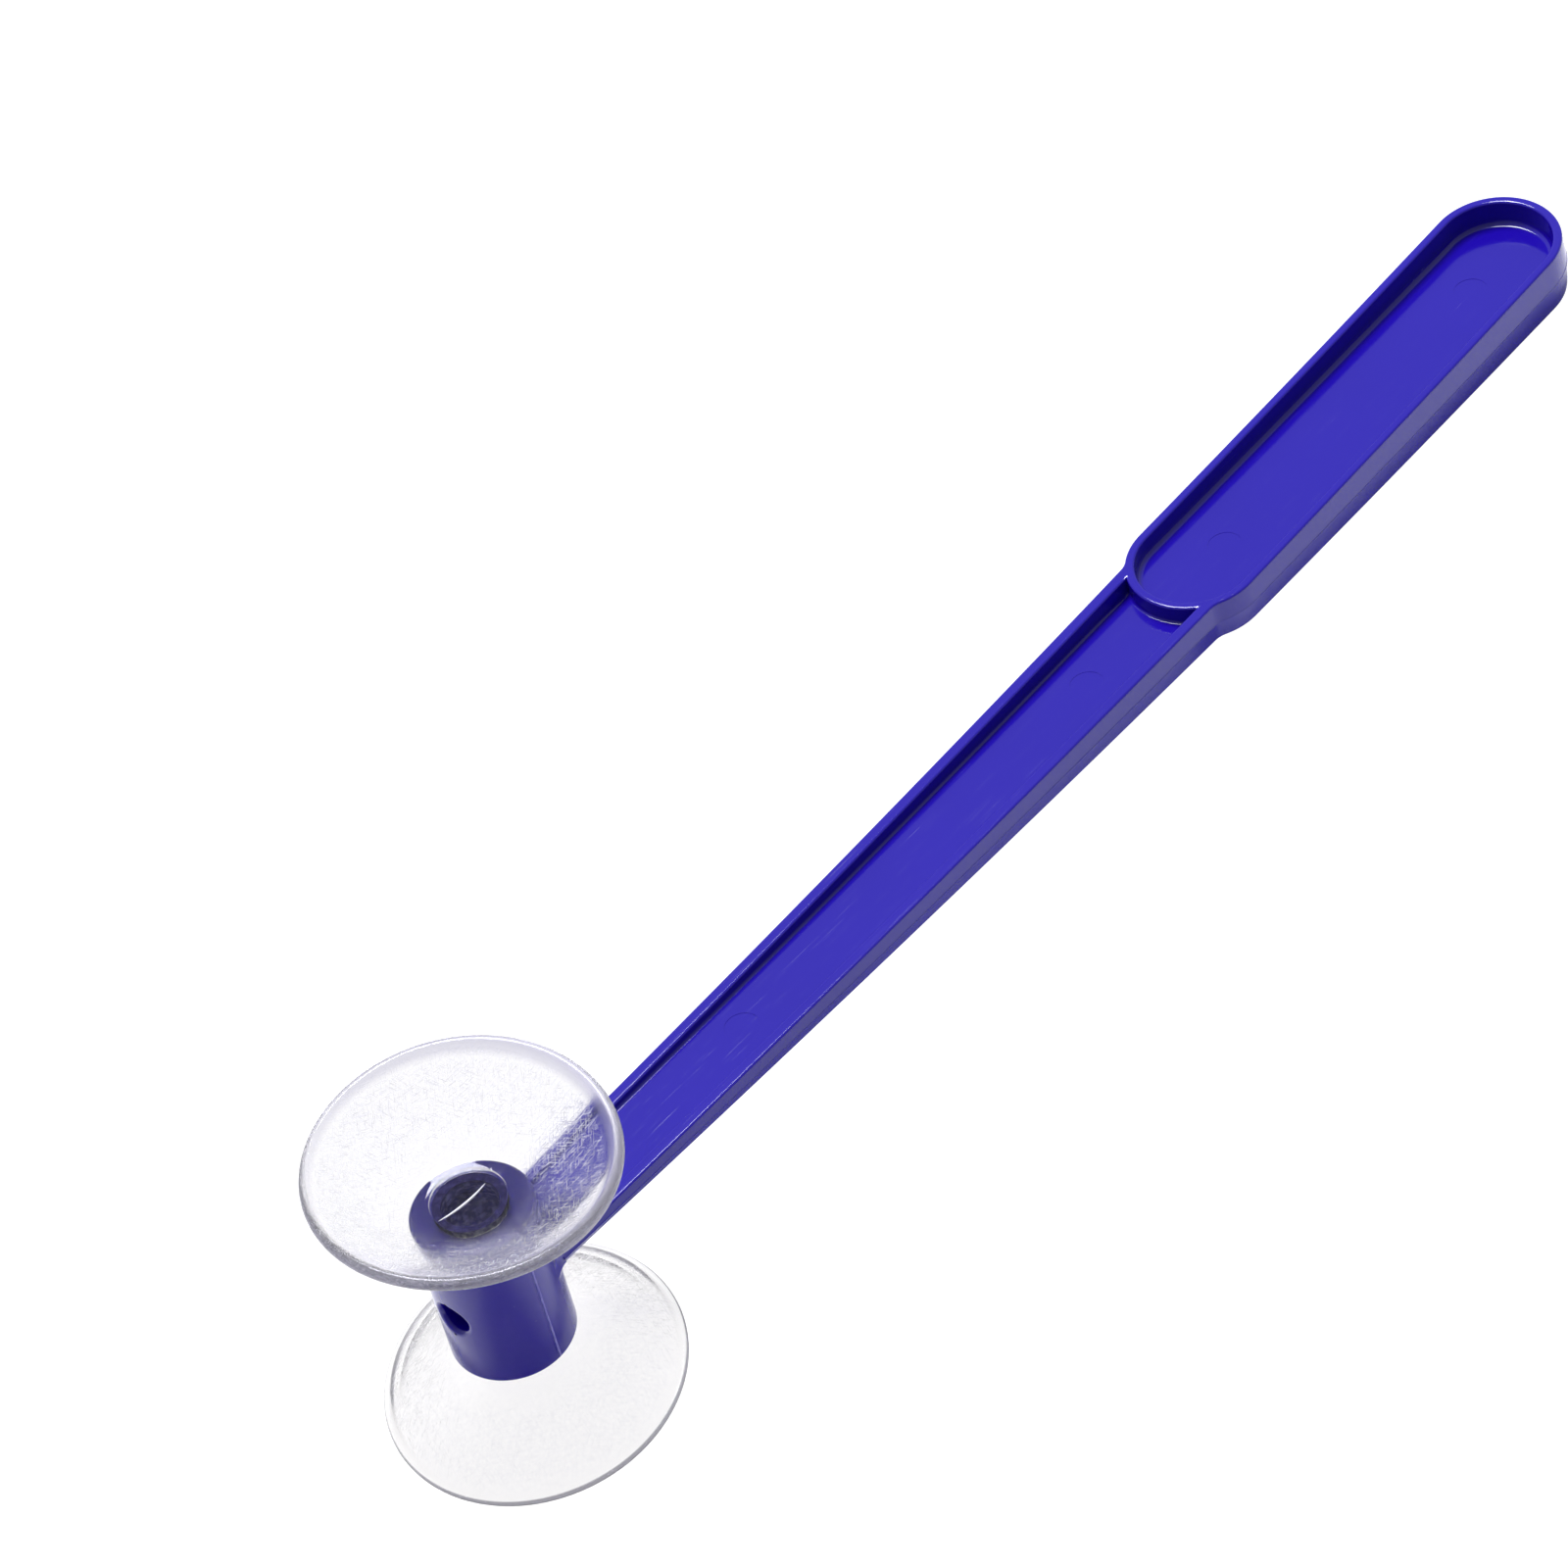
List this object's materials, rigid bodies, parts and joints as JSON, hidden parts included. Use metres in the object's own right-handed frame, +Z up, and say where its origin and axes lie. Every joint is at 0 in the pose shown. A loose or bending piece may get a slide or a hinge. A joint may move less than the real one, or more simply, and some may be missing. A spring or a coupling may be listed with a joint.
{
  "type": "suction cup mallet",
  "caption": "Toy mallet with a recessed moulded handle, a short barrel head and a clear soft suction cup plugged into each end of it.",
  "frame": {"origin": "on the resting surface, under the middle of the part's bounding box", "axes": "+X from the barrel towards the end of the grip, +Z up from the resting surface"},
  "size_m": [0.3062, 0.05, 0.0568],
  "materials": {
    "mallet_plastic": "glossy blue moulded polypropylene",
    "cup_vinyl": "clear soft PVC, faintly scratched"
  },
  "bodies": {
    "mallet": {"mallet_body": "mallet_plastic"},
    "upper_stem": {"upper_cup_stem": "cup_vinyl"},
    "upper_cup": {"upper_cup_skirt": "cup_vinyl"},
    "lower_stem": {"lower_cup_stem": "cup_vinyl"},
    "lower_cup": {"lower_cup_skirt": "cup_vinyl"}
  },
  "joints": [
    {"name": "upper_cup_flex", "type": "hinge", "parent": "mallet", "child": "upper_stem", "pos_m": [-0.12671, 0, 0.03644], "axis": [0, 1, 0], "range_deg": [-10, 10], "stiffness_Nm_per_rad": 0.1},
    {"name": "upper_cup_swivel", "type": "hinge", "parent": "upper_stem", "child": "upper_cup", "pos_m": [-0.12671, 0, 0.03644], "axis": [0.0782, 0, 0.9969], "continuous": true},
    {"name": "lower_cup_flex", "type": "hinge", "parent": "mallet", "child": "lower_stem", "pos_m": [-0.12812, 0, 0.0185], "axis": [0, 1, 0], "range_deg": [-5.5, 14.5], "stiffness_Nm_per_rad": 0.1, "springref_deg": 4.49},
    {"name": "lower_cup_swivel", "type": "hinge", "parent": "lower_stem", "child": "lower_cup", "pos_m": [-0.12812, 0, 0.0185], "axis": [0, 0, 1], "continuous": true}
  ]
}
